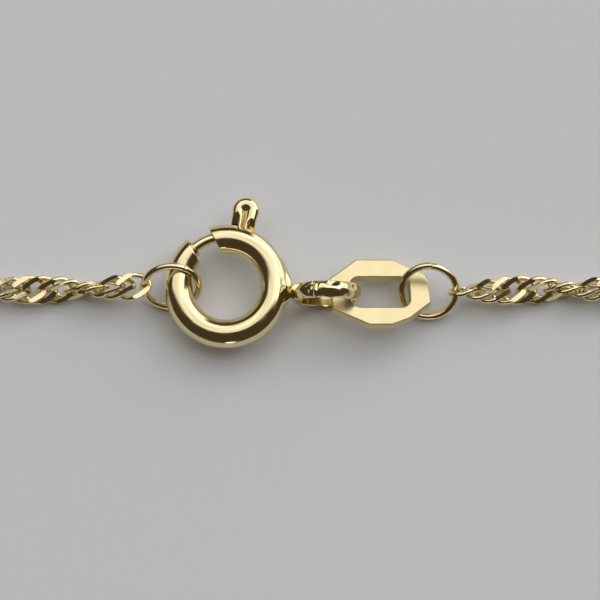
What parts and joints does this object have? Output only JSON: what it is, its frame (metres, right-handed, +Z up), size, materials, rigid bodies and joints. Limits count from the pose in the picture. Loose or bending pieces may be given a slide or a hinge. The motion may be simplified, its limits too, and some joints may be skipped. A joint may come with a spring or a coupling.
{
  "type": "singapore chain necklace",
  "caption": "Twisted curb chain necklace in a closed loop, fastened at the front by a spring ring clasp hooked to an octagonal end plate.",
  "frame": {"origin": "middle of the loop, on the surface that the necklace lies on", "axes": "+Z up from the surface, -Y towards the clasp, +X along the clasp from the spring ring to the end plate"},
  "size_m": [0.1428, 0.1428, 0.0035],
  "materials": {
    "polished_gold": "polished yellow gold",
    "satin_gold": "satin yellow gold",
    "cut_gold": "diamond-cut yellow gold"
  },
  "bodies": {
    "necklace": {"clasp_ring": "polished_gold", "end_plate": "satin_gold", "jump_ring_left": "polished_gold", "jump_ring_right": "polished_gold", "chain": "cut_gold"},
    "bolt": {"clasp_bolt": "polished_gold"}
  },
  "joints": [
    {"name": "bolt_slide", "type": "hinge", "parent": "necklace", "child": "bolt", "pos_m": [-0.00353, -0.06836, 0.00142], "axis": [-0.0704, -0.0523, 0.9961], "range_deg": [-35, 0], "stiffness_Nm_per_rad": 0.0029, "springref_deg": 20.05}
  ]
}
